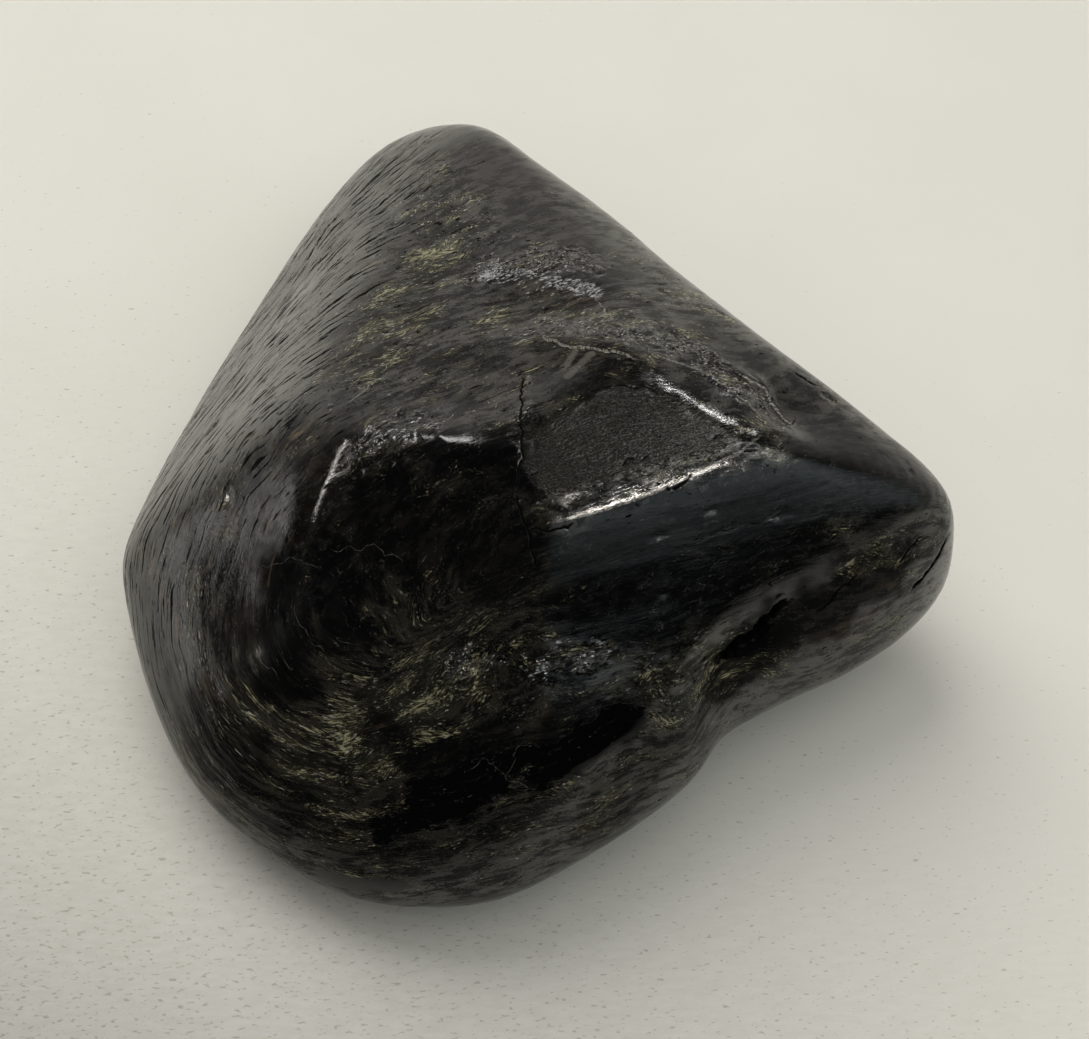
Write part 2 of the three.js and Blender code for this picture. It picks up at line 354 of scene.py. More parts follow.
# Colours of the stone.
BLACK_ROCK = (0.0035, 0.0037, 0.0036, 1)
BROWN_ROCK = (0.02, 0.018, 0.013, 1)
WINDOW_ROCK = (0.0125, 0.0115, 0.0095, 1)
SPECKLED_ROCK = (0.034, 0.031, 0.024, 1)
TUFTED_ROCK = (0.024, 0.024, 0.016, 1)
CALM_ROCK = (0.009, 0.0072, 0.0055, 1)
DARK_ROCK = (0.002, 0.0021, 0.0024, 1)
BLACK_SHARD = (0.003, 0.003, 0.0035, 1)
# Grey and pale shards of broken ground are painted sparkle highlights.
GREY_SHARD_PAINTED_SHEEN = (0.034, 0.035, 0.037, 1)
PALE_SHARD_PAINTED_GLINT = (0.12, 0.1, 0.08, 1)
BLACK_CRYSTAL = (0.0014, 0.0015, 0.0017, 1)
GREY_NEEDLE = (0.045, 0.045, 0.036, 1)
OLIVE_NEEDLE = (0.056, 0.051, 0.026, 1)
GOLD_NEEDLE = (0.32, 0.3, 0.19, 1)
TAN_SEAM = (0.16, 0.115, 0.065, 1)
RUST_STAIN = (0.07, 0.042, 0.024, 1)
# Platy flakes painted pale as glints.
PLATE_PAINTED_GLINT = (0.36, 0.36, 0.37, 1)
PALE_VEIN = (0.2, 0.2, 0.18, 1)
# A few flakes painted bright as sparkle highlights.
PAINTED_SPARKLE = (0.46, 0.45, 0.4, 1)
# Colour of the pale hairlines and tablets, and of the painted highlights along ledges and ridges.
PALE_LINE_AND_HIGHLIGHT = (0.5, 0.47, 0.41, 1)
OPEN_CRACK = (0.001, 0.001, 0.001, 1)
STONE_IOR = 1.62

# The board that the stone lies on: its size in metres and its noises in grains per metre.
FLOOR_SIZE = 4.0
DASH_GRAIN = (1700.0, 4200.0, 1700.0)
DASH_TURN = (0.0, 0.0, -0.9)
FUZZ_GRAIN = (500.0, 1700.0, 500.0)
FUZZ_TURN = (0.0, 0.0, -1.1)
CLOUD_GRAIN = (60.0, 60.0, 60.0)
FRONT_LEFT = (-0.5, -0.866, 0.0)
BOARD_DIM = (0.76, 0.745, 0.675, 1)
BOARD_PALE = (0.82, 0.805, 0.74, 1)
BOARD_FUZZ = (0.45, 0.42, 0.35, 1)
BOARD_DASH = (0.3, 0.26, 0.2, 1)
UNLIT = (0.0, 0.0, 0.0, 1)
BOARD_ROUGHNESS = 0.9
BOARD_SPECULAR = 0.2

# Broad lights for the floor and the rock's colour: name, direction, distance, size, watts and colour.
BROAD_LIGHTS = [
    ("key", (-0.32, 0.55, 0.77), 700, 700, 3.35, (1.0, 0.985, 0.95)),
    ("fill", (0.1, -0.3, 0.95), 900, 1600, 5.2, (1.0, 0.99, 0.97)),
]

# Lights that only show as reflections; the two strips also have a length and the way it runs.
REFLECTED_LIGHTS = [
    ("sheen", (-0.45, 0.45, 0.77), 700, 160, 0.7, (1.0, 0.98, 0.95)),
    ("window", (0.65, 0.02, 0.76), 600, 190, 0.36, (1.0, 0.95, 0.88)),
    ("rim", (0.62, -0.34, 0.71), 600, 20, 0.24, (1.0, 0.93, 0.84)),
    ("back_rim", (0.58, 0.52, 0.63), 600, 30, 0.2, (1.0, 0.99, 0.95)),
    ("shoulder", (-0.89, 0.0, 0.44), 600, 8, 0.6, (1.0, 0.96, 0.9), 300, (-0.16, -0.46, -0.30)),
    ("strip", (-0.991, 0.133, -0.0064), 311, 10, 0.009, (1.0, 0.98, 0.95), 76, (0.0, 1.0, 0.0)),
]

# The room.
ROOM_TINT = (1.0, 0.95, 0.89)
GLOW_TINT = (0.86, 0.97, 1.0)


# ---- fields

def unit(azimuth, rise):
    """Unit vector at an azimuth from +X towards +Y and a rise above the horizon, in degrees."""
    turn = math.radians(azimuth)
    lift = math.radians(rise)
    return np.array((math.cos(lift) * math.cos(turn), math.cos(lift) * math.sin(turn), math.sin(lift)))


def smoothstep(values, low, high):
    """0 below low, 1 above high and a soft step between; with low above high it falls."""
    share = np.clip((values - low) / (high - low), 0.0, 1.0)
    return share * share * (3.0 - 2.0 * share)


def lattice_noise(places, size, seed):
    """Smooth noise from about -1 to 1 with lumps of about the given size, the same on every run."""
    table = np.random.RandomState(seed).permutation(256)
    leaning = np.random.RandomState(seed + 1).normal(size=(256, 3))
    leaning /= np.linalg.norm(leaning, axis=1)[:, None]
    scaled = places / np.asarray(size, float)
    corner = np.floor(scaled).astype(int)
    inside = scaled - corner
    ease = inside ** 3 * (inside * (inside * 6.0 - 15.0) + 10.0)
    total = np.zeros(len(places))
    for step in np.ndindex(2, 2, 2):
        step = np.array(step)
        spot = corner + step
        pick = table[(table[(table[spot[:, 0] & 255] + spot[:, 1]) & 255] + spot[:, 2]) & 255]
        pull = np.einsum("ij,ij->i", leaning[pick], inside - step)
        total += np.prod(np.where(step == 1, ease, 1.0 - ease), axis=1) * pull
    return total * NOISE_GAIN


def summed_noise(places, seed, *octaves):
    """Noises added up: each octave is a strength and a size, and its seed is the next one on."""
    total = 0.0
    for number, (strength, size) in enumerate(octaves):
        total = total + strength * lattice_noise(places, size, seed + number)
    return total


def line_distance(places, start, end):
    """Distance of each place from a straight line between two points."""
    start = np.asarray(start, float)
    along = np.asarray(end, float) - start
    share = np.clip((places - start) @ along / (along @ along), 0.0, 1.0)
    return np.linalg.norm(places - start - share[:, None] * along, axis=1)


def chain_distance(places, points):
    """Distance of each place from a chain of straight lines."""
    return np.minimum.reduce([line_distance(places, *ends) for ends in zip(points, points[1:])])


def fold_coordinates(places):
    """Along and across the folded layers, and height: layers are where the second value is level."""
    turn = math.radians(FOLD_AZIMUTH)
    x, y, z = places.T
    x = x + FOLD_BEND * np.clip(y - BEND_START, 0.0, None) ** 2
    dip = DIP_RATE * np.clip(DIP_HEIGHT - z, 0.0, None) ** 2
    along = x * math.cos(turn) + y * math.sin(turn)
    across = -x * math.sin(turn) + y * math.cos(turn) - FOLD_AXIS
    nose = np.clip(FOLD_NOSE - along, 0.0, None)
    limbs = np.sqrt(across ** 2 + nose ** 2 + FOLD_ROUND ** 2)
    hinge = smoothstep(along, FOLD_NOSE + HINGE_START, FOLD_NOSE + HINGE_END)
    hinge = hinge * smoothstep(across, HINGE_FAR, HINGE_NEAR)
    limbs = limbs + (across - limbs) * hinge
    apart = places - np.array(NOTCH_MIDDLE)
    notch = NOTCH_TURN * np.exp(-(apart ** 2).sum(axis=1) / NOTCH_REACH ** 2)
    return np.stack((along, limbs + dip + notch * apart[:, 0], z), axis=1)


def wavy_fold(places):
    """The fold's coordinates with the layers' small waves."""
    folded = fold_coordinates(places)
    folded[:, 1] += summed_noise(places, FOLD_SEED, *LAYER_WAVES)
    folded[:, 0] += summed_noise(places, FOLD_SEED + len(LAYER_WAVES), ALONG_WAVE)
    return folded


def patch_field(places, patches, softness=0.9, raggedness=1.0):
    """1 inside the patches and 0 outside, times each one's strength, with a ragged border."""
    ragged = raggedness * summed_noise(places, PATCH_SEED, *PATCH_BORDER)
    field = np.zeros(len(places))
    for start, end, half_width, strength in patches:
        inside = half_width - line_distance(places, start, end) + ragged
        field = np.maximum(field, strength * smoothstep(inside, -softness, softness))
    return field


def lens_field(places, folded, front):
    """How far inside a black crystal each place is, in millimetres, less than 0 outside."""
    ragged = summed_noise(places, LENS_SEED, *LENS_BORDER)
    field = np.full(len(places), -3.0)
    for start, end, half_width in LENSES:
        field = np.maximum(field, half_width - line_distance(places, start, end))
    scattered = lattice_noise(folded, SCATTER_SIZE, LENS_SEED + len(LENS_BORDER))
    scattered = scattered * SCATTER_GAIN - SCATTER_LEVEL - SCATTER_FRONT * front
    return np.maximum(field, scattered) + ragged


def straight_marks(places, marks):
    """1 inside straight blunt marks, with a soft border."""
    field = np.zeros(len(places))
    for start, end, half_width in marks:
        field = np.maximum(field, smoothstep(half_width - line_distance(places, start, end), -0.05, 0.08))
    return field


# ---- stone mesh

def copy_of_cad_node(node, name):
    """A new object with the node's mesh, its loose triangles joined up."""
    bpy.ops.object.select_all(action="DESELECT")
    piece = bpy.data.objects.new(name, node.data.copy())
    bpy.context.scene.collection.objects.link(piece)
    piece.select_set(True)
    bpy.context.view_layer.objects.active = piece
    bpy.ops.object.mode_set(mode="EDIT")
    bpy.ops.mesh.select_all(action="SELECT")
    bpy.ops.mesh.remove_doubles(threshold=WELD * MM)
    bpy.ops.object.mode_set(mode="OBJECT")
    return piece


def apply_modifier(piece, kind, **settings):
    bpy.context.view_layer.objects.active = piece
    modifier = piece.modifiers.new("finish", kind)
    for key, value in settings.items():
        setattr(modifier, key, value)
    bpy.ops.object.modifier_apply(modifier=modifier.name)


def vectors_of(items, name):
    """One vector of each vertex or face, as rows."""
    flat = np.empty(len(items) * 3, np.float32)
    items.foreach_get(name, flat)
    return flat.reshape(-1, 3).astype(float)


def refine(piece, wanted):
    """Splits the faces that are wanted, going by their middles and normals."""
    faces = piece.data.polygons
    chosen = wanted(vectors_of(faces, "center") / MM, vectors_of(faces, "normal"))
    bpy.ops.object.mode_set(mode="EDIT")
    bpy.ops.mesh.select_mode(type="FACE")
    bpy.ops.mesh.select_all(action="DESELECT")
    bpy.ops.object.mode_set(mode="OBJECT")
    piece.data.polygons.foreach_set("select", chosen)
    bpy.ops.object.mode_set(mode="EDIT")
    bpy.ops.mesh.subdivide(number_cuts=1, quadcorner="INNERVERT")
    bpy.ops.object.mode_set(mode="OBJECT")


def upper_side(places, normals):
    """True for the crest, the flanks and the belly above the tucked-under side."""
    return (places[:, 2] > TUCK_HEIGHT) & (normals @ VIEW_SIDE > VIEW_SIDE_EDGE)


def near_step(places, _):
    """True near a crack or a ledge."""
    return np.minimum.reduce([chain_distance(places, line[0]) for line in CRACKS + LEDGES]) < FINEST_MARGIN


def near_feature(places, _):
    """True near a crack, ledge, hairline, ridge, tablet or broken patch."""
    nearest = [chain_distance(places, line[0]) for line in CRACKS + LEDGES + HAIRLINES]
    nearest += [chain_distance(places, ridge[0]) + RIDGE_MARGIN for ridge in RIDGES]
    nearest += [line_distance(places, start, end) for start, end, _ in TABLETS]
    nearest += [line_distance(places, start, end) - half_width for start, end, half_width, _ in BROKEN]
    return np.minimum.reduce(nearest) < FINE_MARGIN


def grind_window(places):
    """Cuts the window flat; returns the places and how far over the cut each was."""
    normal = unit(WINDOW_AZIMUTH, WINDOW_RISE)
    height = places @ normal
    near = np.linalg.norm(places - np.array(WINDOW_MIDDLE), axis=1) < WINDOW_REACH
    level = np.percentile(height[near], WINDOW_TOP) - WINDOW_CUT
    over = np.where(near, height - level, -1.0)
    return places - np.clip(over, 0.0, None)[:, None] * normal, over


def route_samples(points, seed, wander):
    """Points along a line through the given points, wandering off it by up to about the given distance."""
    corners = np.array(points, float)
    samples = []
    for start, end in zip(corners, corners[1:]):
        count = max(2, int(np.linalg.norm(end - start) / ROUTE_STEP))
        shares = np.linspace(0.0, 1.0, count, endpoint=False)[:, None]
        samples.append(start + (end - start) * shares)
    samples.append(corners[-1:])
    route = np.concatenate(samples)
    broad = np.stack([lattice_noise(route, 1.1, seed + axis) for axis in range(3)], axis=1)
    fine = np.stack([lattice_noise(route, 0.4, seed + 3 + axis) for axis in range(3)], axis=1)
    return route + wander * (broad + 0.33 * fine)


def filled_tree(points):
    """A search tree of the points."""
    tree = kdtree.KDTree(len(points))
    for index, place in enumerate(points):
        tree.insert(place, index)
    tree.balance()
    return tree


def beside_route(places, normals, points, seed, wander):
    """Distance from a route along the surface, the side of it, and a taper that is 1 away from its ends."""
    route = route_samples(points, seed, wander)
    tree = filled_tree(route)
    low = route.min(axis=0) - ROUTE_REACH
    high = route.max(axis=0) + ROUTE_REACH
    distance = np.full(len(places), FAR)
    side = np.ones(len(places))
    taper = np.zeros(len(places))
    for index in np.flatnonzero(np.all((places > low) & (places < high), axis=1)):
        _, nearest, _ = tree.find(places[index])
        offset = places[index] - route[nearest]
        offset = offset - (offset @ normals[index]) * normals[index]
        before = route[max(0, nearest - ROUTE_TANGENT)]
        after = route[min(len(route) - 1, nearest + ROUTE_TANGENT)]
        distance[index] = np.linalg.norm(offset)
        side[index] = np.sign(np.cross(after - before, offset) @ normals[index])
        share = nearest / (len(route) - 1)
        taper[index] = min(1.0, TAPER_RATE * min(share, 1.0 - share) + TAPER_END)
    return distance, side, taper


def facet_heights(places, mask):
    """Heights of small facets: each place in the mask belongs to its nearest seed and leans with it."""
    random = np.random.RandomState(FACET_SEED)
    inside = np.flatnonzero(mask > 0.05)
    count = max(4, int(len(inside) * (MESH_SPACING / FACET_SPACING) ** 2))
    seeds = places[random.choice(inside, count, replace=False)]
    leans = random.normal(size=(count, 3)) * FACET_TILT
    steps = random.uniform(-1.0, 0.4, count) * FACET_TILT * FACET_SPACING * 0.5
    tree = filled_tree(seeds)
    heights = np.zeros(len(places))
    for index in inside:
        _, nearest, _ = tree.find(places[index])
        heights[index] = (places[index] - seeds[nearest]) @ leans[nearest] + steps[nearest]
    return heights


class ThinLines:
    """Signed distances from thin lines in half widths, and how strongly each line shows near a place.

    Thin lines stay sharp between vertices: the material finds each one where its signed distance is zero.
    """

    def __init__(self, count):
        self.nearest = np.full(count, FAR)
        self.off = np.full(count, LINE_LIMIT)
        self.gain = np.zeros(count)

    def draw(self, signed, half_width, gain):
        distance = np.abs(signed)
        closer = distance < self.nearest
        self.nearest = np.where(closer, distance, self.nearest)
        self.off = np.where(closer, np.clip(signed / half_width, -LINE_LIMIT, LINE_LIMIT), self.off)
        reach = max(LINE_REACH, 2.5 * half_width)
        self.gain = np.where(closer, gain * smoothstep(-distance, -reach, -0.7 * reach), self.gain)


def raise_lines(places, normals):
    """The height of cracks, ledges and ridges, and their thin lines: dark ones in the cracks, pale
    hairlines, and painted highlights along the ledges and ridges.
    """
    height = np.zeros(len(places))
    cracks = ThinLines(len(places))
    bright = ThinLines(len(places))
    wall = lattice_noise(places, CRACK_LUMP, CRACK_LUMP_SEED)

    def route(number, points, seed, wander):
        distance, side, taper = beside_route(places, normals, points, seed + SEED_STEP * number, wander)
        return distance, distance * side, taper, np.clip(taper - TAPER_END, 0.0, 1.0)

    for number, (points, depth, half_width) in enumerate(CRACKS):
        distance, signed, taper, shown = route(number, points, CRACK_SEED, CRACK_WANDER)
        cracks.draw(signed, half_width, np.clip(4.0 * shown, 0.0, 1.0))
        distance = distance + CRACK_RAGGED * half_width * wall
        height -= depth * np.exp(-(distance / half_width) ** 2) * taper
    for number, (points, rise, run_out) in enumerate(LEDGES):
        distance, signed, taper, shown = route(number, points, LEDGE_SEED, CRACK_WANDER)
        height += rise * taper * smoothstep(signed, -0.08, 0.12) * np.exp(-(distance / run_out) ** 2)
        # A painted highlight: a pale line along the ledge's edge.
        bright.draw(signed - 0.02, LEDGE_LINE, LEDGE_GLEAM * shown)
    for number, (points, half_width, strength) in enumerate(HAIRLINES):
        _, signed, _, shown = route(number, points, HAIRLINE_SEED, HAIRLINE_WANDER)
        bright.draw(signed, half_width, strength * shown)
    for number, (points, rise, radius, strength) in enumerate(RIDGES):
        height += rise * np.exp(-(chain_distance(places, points) / radius) ** 2)
        _, signed, _, shown = route(number, points, RIDGE_SEED, RIDGE_WANDER)
        # A painted highlight: bright grains along the ridge's crest.
        bright.draw(signed, RIDGE_LINE, strength * shown)
    return height, cracks, bright


def surface_fields(places, normals, folded, over):
    """What the ground is like at each place, by name."""
    front = smoothstep(normals @ VIEW_SIDE, 0.15, 0.5) * smoothstep(places[:, 2], 6.0, 9.0)
    window = smoothstep(over, -0.02, 0.05)
    lens = lens_field(places, folded, front)
    lens = np.where(window > 0.5, np.minimum(lens, -0.4), lens)
    return {
        "lens": lens,
        "fleck": patch_field(places, FLECKS) * smoothstep(lens, 0.3, -0.2),
        "broken": patch_field(places, BROKEN),
        "window": window,
        "silver": patch_field(places, PLATE_GLINTS, PLATE_GLINT_SOFTNESS, PLATE_GLINT_RAGGEDNESS),
        "rust": patch_field(places, RUST),
        "dark": patch_field(places, DARK),
        "matt": patch_field(places, MATT) * (1.0 - window),
        "calm": patch_field(places, CALM, CALM_SOFTNESS),
        "gleam": TABLET_GLEAM * straight_marks(places, TABLETS),
        "flank": smoothstep(normals @ unit(FLANK_AZIMUTH, FLANK_RISE), 0.72, 0.93),
        "sheaves": summed_noise(folded, MARK_SEED, *SHEAVES),
        "mottle": summed_noise(folded, MARK_SEED + len(SHEAVES), *MOTTLES),
        "along": folded[:, 0],
        "across": folded[:, 1],
    }


def roughen(height, places, folded, fields):
    """Adds swells, waves, layers, broken facets and needles to the height, and takes pits off it."""
    for middle, radius, rise in SWELLS:
        distance = np.linalg.norm(places - np.array(middle), axis=1)
        height += rise * np.exp(-(distance / radius) ** 2)
    unground = 1.0 - 0.8 * fields["window"]
    worn = unground * (1.0 - 0.7 * fields["calm"])
    rough = smoothstep(fields["lens"], 0.1, -0.3) * worn
    height += WAVE_HEIGHT * unground * lattice_noise(places, WAVE_SIZE, SURFACE_SEED)
    height += LAYER_HEIGHT * worn * lattice_noise(folded, LAYER_SIZE, SURFACE_SEED + 1)
    height += fields["broken"] * facet_heights(places, fields["broken"])
    needles = lattice_noise(folded, NEEDLE_SIZE, SURFACE_SEED + 2)
    height += NEEDLE_HEIGHT * rough * (0.3 + fields["fleck"]) * needles
    pits = smoothstep(lattice_noise(folded, PIT_SIZE, SURFACE_SEED + 3), 0.62, 0.85)
    height -= PIT_DEPTH * pits * rough


def work_surface(stone):
    """Grinds, cracks and breaks the surface, and keeps the fields that the material reads."""
    places = vectors_of(stone.data.vertices, "co") / MM
    normals = vectors_of(stone.data.vertices, "normal")
    folded = wavy_fold(places)
    places, over = grind_window(places)
    fields = surface_fields(places, normals, folded, over)
    height, cracks, bright = raise_lines(places, normals)
    roughen(height, places, folded, fields)
    fields.update(crack=cracks.off, crack_gain=cracks.gain, bright=bright.off, bright_gain=bright.gain)
    for name, values in fields.items():
        attribute = stone.data.attributes.new(name, "FLOAT", "POINT")
        attribute.data.foreach_set("value", values.astype(np.float32))
    places = places + height[:, None] * normals
    places[:, 2] = np.clip(places[:, 2], 0.0, None)
    stone.data.vertices.foreach_set("co", (places * MM).astype(np.float32).ravel())
    stone.data.update()


def make_stone():
    """The stone's fine mesh, with the fields that its material reads."""
    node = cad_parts["stone"]
    master = copy_of_cad_node(node, "master")
    apply_modifier(master, "SUBSURF", levels=MASTER_LEVELS, render_levels=MASTER_LEVELS)
    apply_modifier(master, "SMOOTH", factor=0.5, iterations=MASTER_SMOOTHING)
    stone = copy_of_cad_node(node, "polished_stone")
    apply_modifier(stone, "SUBSURF", levels=1, render_levels=1)
    for wanted in (upper_side, near_feature, near_step):
        refine(stone, wanted)
    apply_modifier(stone, "SHRINKWRAP", target=master, wrap_method="NEAREST_SURFACEPOINT")
    bpy.data.objects.remove(master)
    work_surface(stone)
    bpy.ops.object.shade_smooth()
    return stone


# ---- material nodes

def add(tree, kind, inputs=(), output=0, **settings):
    """Adds a node; its inputs are numbers, colours or other nodes' outputs. Returns one of its outputs."""
    node = tree.nodes.new(kind)
    for key, value in settings.items():
        setattr(node, key, value)
    for key, value in dict(inputs).items():
        if isinstance(value, bpy.types.NodeSocket):
            tree.links.new(value, node.inputs[key])
        else:
            node.inputs[key].default_value = value
    return node.outputs[output]


def maths(tree, operation, *values):
    return add(tree, "ShaderNodeMath", dict(enumerate(values)), operation=operation)


def vector_maths(tree, operation, *values, **settings):
    return add(tree, "ShaderNodeVectorMath", {**dict(enumerate(values)), **settings}, operation=operation)


def product(tree, first, *others):
    for other in others:
        first = maths(tree, "MULTIPLY", first, other)
    return first


def largest(tree, first, *others):
    for other in others:
        first = maths(tree, "MAXIMUM", first, other)
    return first


def weighted(tree, base, *pairs):
    """The base plus each value times its weight."""
    for value, weight in pairs:
        base = maths(tree, "MULTIPLY_ADD", value, weight, base)
    return base


def ramp(tree, value, low, high, to_low=0.0, to_high=1.0):
    """A soft step: to_low below low, to_high above high."""
    inputs = {"Value": value, "From Min": low, "From Max": high, "To Min": to_low, "To Max": to_high}
    return add(tree, "ShaderNodeMapRange", inputs, interpolation_type="SMOOTHSTEP")


def blend(tree, share, first, second):
    """A colour between two."""
    return add(tree, "ShaderNodeMix", {0: share, 6: first, 7: second}, output=2, data_type="RGBA")


def painted(tree, base, *coats):
    """The base colour under coats: each one's mask, how fully it covers, and its colour."""
    for mask, cover, colour in coats:
        base = blend(tree, maths(tree, "MULTIPLY", mask, cover), base, colour)
    return base


def layered(tree, base, *layers):
    """The base number under layers: each one's mask and its number."""
    for mask, value in layers:
        base = add(tree, "ShaderNodeMix", {0: mask, 2: base, 3: value}, data_type="FLOAT")
    return base


def stretched(tree, vector, scales, turn=(0.0, 0.0, 0.0)):
    """The vector scaled, then turned; a turn picks another part of the same noise."""
    inputs = {"Vector": vector, "Scale": scales, "Rotation": turn}
    return add(tree, "ShaderNodeMapping", inputs, output="Vector")


def grain(tree, vector, scales, detail, roughness, turn=(0.0, 0.0, 0.0)):
    """Noise whose lumps are smaller where the scales are larger."""
    vector = stretched(tree, vector, scales, turn)
    inputs = {"Vector": vector, "Scale": 1.0, "Detail": detail, "Roughness": roughness}
    return add(tree, "ShaderNodeTexNoise", inputs, output="Fac")


def cells(tree, vector, scales):
    """Cells that each have a random colour."""
    inputs = {"Vector": stretched(tree, vector, scales), "Scale": 1.0}
    return add(tree, "ShaderNodeTexVoronoi", inputs, output="Color")


def axis_of(tree, vector, axis):
    return add(tree, "ShaderNodeSeparateXYZ", {0: vector}, output=axis)


def new_material(name):
    """A material with its tree and its shader."""
    material = bpy.data.materials.new(name)
    material.use_nodes = True
    return material, material.node_tree, material.node_tree.nodes["Principled BSDF"]


# ---- stone material

def needle_felt(tree, layers):
    """Noise drawn out into short needles, each small domain of them lying in its own direction."""
    domain = axis_of(tree, cells(tree, layers, NEEDLE_DOMAINS), "X")
    lean = weighted(tree, -NEEDLE_SPREAD / 2, (domain, NEEDLE_SPREAD))
    turned = add(tree, "ShaderNodeVectorRotate", {"Vector": layers, "Angle": lean}, rotation_type="Z_AXIS")
    return grain(tree, turned, NEEDLE_GRAIN, 4.0, 0.8)


def thin_line(tree, marks, name, low, high):
    """A thin line's mask: 1 up to low half widths off the line and 0 beyond high, with a ragged edge."""
    off = weighted(tree, maths(tree, "ABSOLUTE", getattr(marks, name)), (marks.uneven, 1.4))
    return product(tree, ramp(tree, off, low, high, 1.0, 0.0), getattr(marks, name + "_gain"))


def stone_marks(tree):
    """What the stone's colour, polish and relief all read: kept fields, noises and masks, by name."""
    marks = SimpleNamespace()
    for name in FIELD_NAMES:
        setattr(marks, name, add(tree, "ShaderNodeAttribute", output="Fac", attribute_name=name))
    places = stretched(tree, add(tree, "ShaderNodeTexCoord", output="Object"), (1 / MM, 1 / MM, 1 / MM))
    height = axis_of(tree, places, "Z")
    layers = add(tree, "ShaderNodeCombineXYZ", {0: marks.along, 1: marks.across, 2: height})
    marks.y_place = axis_of(tree, places, "Y")

    marks.ragged = grain(tree, layers, RAGGED_GRAIN, 5.0, 0.75)
    marks.speckle = grain(tree, layers, SPECKLE_GRAIN, 1.0, 0.6)
    marks.streaks = grain(tree, layers, STREAK_GRAIN, 3.0, 0.65)
    marks.uneven = maths(tree, "SUBTRACT", marks.ragged, 0.5)
    marks.mottled = weighted(tree, marks.ragged, (marks.mottle, 0.14), (marks.fleck, -0.03))
    marks.tuft = ramp(tree, weighted(tree, marks.fleck, (marks.uneven, 1.8)), 0.5, 1.0)
    marks.shards = ramp(tree, weighted(tree, marks.broken, (marks.uneven, 2.2)), 0.35, 0.8)
    marks.stain = ramp(tree, weighted(tree, marks.rust, (marks.uneven, 2.0)), 0.5, 0.9)
    marks.crystal = ramp(tree, weighted(tree, marks.lens, (marks.uneven, 3.0)), -0.06, 0.08)
    marks.ground = maths(tree, "SUBTRACT", 1.0, marks.crystal)

    mark_layers(tree, marks, layers)
    mark_grains(tree, marks, layers)
    return marks


def mark_layers(tree, marks, layers):
    """Needles, open slots, small holes, tan seams and pale veins, all drawn out along the layers.

    More of the felt of needles turns golden-green where flecks are wanted.
    """
    wanted = weighted(tree, -0.045, (marks.sheaves, 0.135), (marks.fleck, 0.06), (marks.dark, -0.1))
    wanted = weighted(tree, wanted, (marks.window, -0.08), (marks.calm, -0.09), (marks.flank, -0.06))
    felt = maths(tree, "ADD", needle_felt(tree, layers), wanted)
    marks.olive = product(tree, ramp(tree, felt, 0.52, 0.6), marks.ground)
    marks.gold = product(tree, ramp(tree, felt, 0.6, 0.67), marks.ground)

    slots = grain(tree, layers, SLOT_GRAIN, 4.0, 0.66)
    slot_level = weighted(tree, 0.665, (marks.flank, -0.104), (marks.dark, 0.06))
    slot = ramp(tree, maths(tree, "SUBTRACT", slots, slot_level), 0.0, 0.024)
    holes = grain(tree, layers, HOLE_GRAIN, 3.0, 0.7)
    hole = ramp(tree, weighted(tree, holes, (marks.calm, -0.04), (marks.fleck, 0.025)), 0.647, 0.672)
    marks.slot = product(tree, largest(tree, slot, hole), marks.ground)
    seams = grain(tree, layers, SEAM_GRAIN, 4.0, 0.62, SEAM_TURN)
    marks.seam = product(tree, ramp(tree, seams, 0.58, 0.68), marks.flank)
    veins = maths(tree, "SUBTRACT", grain(tree, layers, VEIN_GRAIN, 2.0, 0.5), 0.5)
    vein = ramp(tree, maths(tree, "ABSOLUTE", veins), 0.0, 0.008, 1.0, 0.0)
    marks.vein = product(tree, vein, ramp(tree, marks.ragged, 0.5, 0.62))


def mark_grains(tree, marks, layers):
    """Small flakes that each lie at their own angle, a few of them painted as sparkle highlights and the
    platy ones painted pale as a glint, and thin lines: dark cracks, pale hairlines, and painted highlights
    along ledges and ridges.
    """
    marks.flakes = cells(tree, layers, FLAKE_GRAIN)
    marks.flake = axis_of(tree, marks.flakes, "Y")
    plain = largest(tree, marks.dark, marks.calm, maths(tree, "MULTIPLY", marks.window, 0.6))
    # The few flakes that get a painted sparkle highlight: more in broken ground and flecks, fewer on plain
    # ground.
    lively = weighted(tree, marks.flake, (marks.shards, 0.05), (marks.fleck, 0.014))
    lively = weighted(tree, lively, (marks.sheaves, 0.02), (plain, -0.04))
    spark = product(tree, ramp(tree, lively, 0.98, 1.014), marks.ground)
    marks.spark = product(tree, spark, ramp(tree, marks.speckle, 0.4, 0.56, 0.25, 1.0))
    # Platy flakes whose pale colour is a painted glint.
    plates = weighted(tree, marks.silver, (marks.uneven, 1.6), (marks.flake, 0.9))
    marks.plates = ramp(tree, plates, 1.3, 1.6)

    marks.dented = largest(tree, thin_line(tree, marks, "crack", 1.1, 1.7), marks.slot)
    # Pale hairlines, and painted highlights along the ledges and ridges.
    line = thin_line(tree, marks, "bright", 0.5, 1.1)
    line = product(tree, line, ramp(tree, marks.speckle, 0.42, 0.56, 0.15, 1.0))
    marks.glints = largest(tree, marks.gleam, line)


